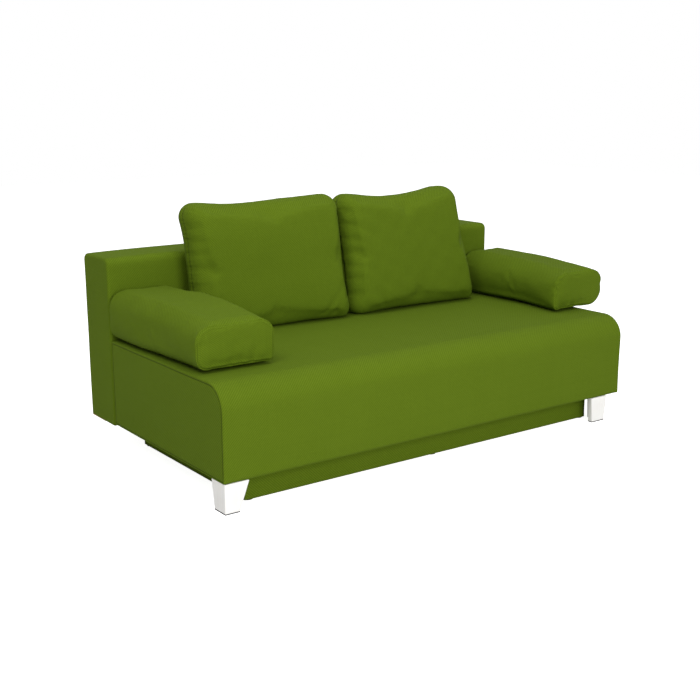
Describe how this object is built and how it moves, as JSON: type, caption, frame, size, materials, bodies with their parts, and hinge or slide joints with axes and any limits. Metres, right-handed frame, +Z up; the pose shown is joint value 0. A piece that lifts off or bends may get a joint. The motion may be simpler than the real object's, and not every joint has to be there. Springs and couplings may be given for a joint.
{
  "type": "sofa bed",
  "caption": "Upholstered pull-out sofa bed with a box seat on painted wooden front legs, a fold-down back, loose back cushions and loose arm bolsters.",
  "frame": {"origin": "on the floor under the middle of the sofa, half-way along it and half-way from front to back, where the centre glide stands", "axes": "+X runs along the sofa to the right seen from the front, the front faces -Y, +Z is up"},
  "size_m": [2.01, 1.051, 0.9354],
  "materials": {
    "upholstery": "matte",
    "lining": "matte",
    "foam": "matte",
    "felt": "matte",
    "leg_paint": "satin",
    "timber": "matte",
    "hardboard": "matte",
    "zinc_steel": "satin",
    "fastener_steel": "satin",
    "glide_plastic": "matte"
  },
  "bodies": {
    "base": {"base_battens": "timber", "base_bottom_panel": "hardboard", "base_cover": "upholstery", "base_divider": "timber", "base_front_board": "timber", "base_glides": "glide_plastic", "base_rear_board": "timber", "base_side_boards": "timber", "guide_rails": "zinc_steel", "rail_screws": "fastener_steel"},
    "seat": {"arm_pivot_bolts": "fastener_steel", "arm_pivot_brackets": "zinc_steel", "leg_bolts": "fastener_steel", "leg_glides": "glide_plastic", "leg_left": "leg_paint", "leg_right": "leg_paint", "roller_axles": "fastener_steel", "roller_brackets": "zinc_steel", "seat_bottom_panel": "hardboard", "seat_cover": "upholstery", "seat_cross_rails": "timber", "seat_felt": "felt", "seat_foam": "foam", "seat_front_pad": "foam", "seat_front_rail": "timber", "seat_leg_blocks": "timber", "seat_mechanism_boards": "timber", "seat_rear_lining": "lining", "seat_rear_rail": "timber", "seat_runner_boards": "timber", "seat_side_boards": "timber", "seat_side_covers": "upholstery", "seat_slats": "timber"},
    "roller_front_left": {"roller_front_left": "glide_plastic"},
    "roller_front_right": {"roller_front_right": "glide_plastic"},
    "roller_rear_left": {"roller_rear_left": "glide_plastic"},
    "roller_rear_right": {"roller_rear_right": "glide_plastic"},
    "lift_arms": {"lift_arm_left": "zinc_steel", "lift_arm_right": "zinc_steel"},
    "back": {"back_bottom_rail": "timber", "back_cover": "upholstery", "back_foam": "foam", "back_hinge_blocks": "timber", "back_hinge_brackets": "zinc_steel", "back_hinge_pins": "fastener_steel", "back_panel": "hardboard", "back_posts": "timber", "back_rear_cover": "upholstery", "back_side_boards": "timber", "back_slats": "timber", "back_top_pad": "foam", "back_top_rail": "timber"},
    "cushion_left": {"cushion_left_cover": "upholstery", "cushion_left_insert": "foam"},
    "cushion_right": {"cushion_right_cover": "upholstery", "cushion_right_insert": "foam"},
    "bolster_left": {"bolster_left_cover": "upholstery", "bolster_left_insert": "foam"},
    "bolster_right": {"bolster_right_cover": "upholstery", "bolster_right_insert": "foam"}
  },
  "joints": [
    {"name": "seat_pull", "type": "slide", "parent": "base", "child": "seat", "axis": [0, -1, 0], "range_m": [0, 0.431]},
    {"name": "lift_arm_turn", "type": "hinge", "parent": "seat", "child": "lift_arms", "pos_m": [0, 0.17, 0.2615], "axis": [1, 0, 0], "range_deg": [0, 90]},
    {"name": "back_fold", "type": "hinge", "parent": "lift_arms", "child": "back", "pos_m": [0, 0.3245, 0.107], "axis": [1, 0, 0], "range_deg": [-180, 0]},
    {"name": "roller_front_left_spin", "type": "hinge", "parent": "seat", "child": "roller_front_left", "pos_m": [-0.8065, 0.0595, 0.073], "axis": [1, 0, 0], "range_deg": [0, 1945.45]},
    {"name": "roller_front_right_spin", "type": "hinge", "parent": "seat", "child": "roller_front_right", "pos_m": [0.8065, 0.0595, 0.073], "axis": [1, 0, 0], "range_deg": [0, 1945.45]},
    {"name": "roller_rear_left_spin", "type": "hinge", "parent": "seat", "child": "roller_rear_left", "pos_m": [-0.8065, 0.2495, 0.073], "axis": [1, 0, 0], "range_deg": [0, 1945.45]},
    {"name": "roller_rear_right_spin", "type": "hinge", "parent": "seat", "child": "roller_rear_right", "pos_m": [0.8065, 0.2495, 0.073], "axis": [1, 0, 0], "range_deg": [0, 1945.45]},
    {"name": "cushion_left_lift", "type": "slide", "parent": "seat", "child": "cushion_left", "axis": [0, 0, 1], "range_m": [0, 0.55]},
    {"name": "cushion_right_lift", "type": "slide", "parent": "seat", "child": "cushion_right", "axis": [0, 0, 1], "range_m": [0, 0.55]},
    {"name": "bolster_left_lift", "type": "slide", "parent": "seat", "child": "bolster_left", "axis": [0, 0, 1], "range_m": [0, 0.45]},
    {"name": "bolster_right_lift", "type": "slide", "parent": "seat", "child": "bolster_right", "axis": [0, 0, 1], "range_m": [0, 0.45]}
  ],
  "couplings": [
    {"joint": "lift_arm_turn", "follows": "seat_pull", "rad_per_m": 3.6445},
    {"joint": "back_fold", "follows": "seat_pull", "rad_per_m": -7.2891},
    {"joint": "roller_front_left_spin", "follows": "seat_pull", "rad_per_m": 78.74},
    {"joint": "roller_front_right_spin", "follows": "seat_pull", "rad_per_m": 78.74},
    {"joint": "roller_rear_left_spin", "follows": "seat_pull", "rad_per_m": 78.74},
    {"joint": "roller_rear_right_spin", "follows": "seat_pull", "rad_per_m": 78.74}
  ]
}
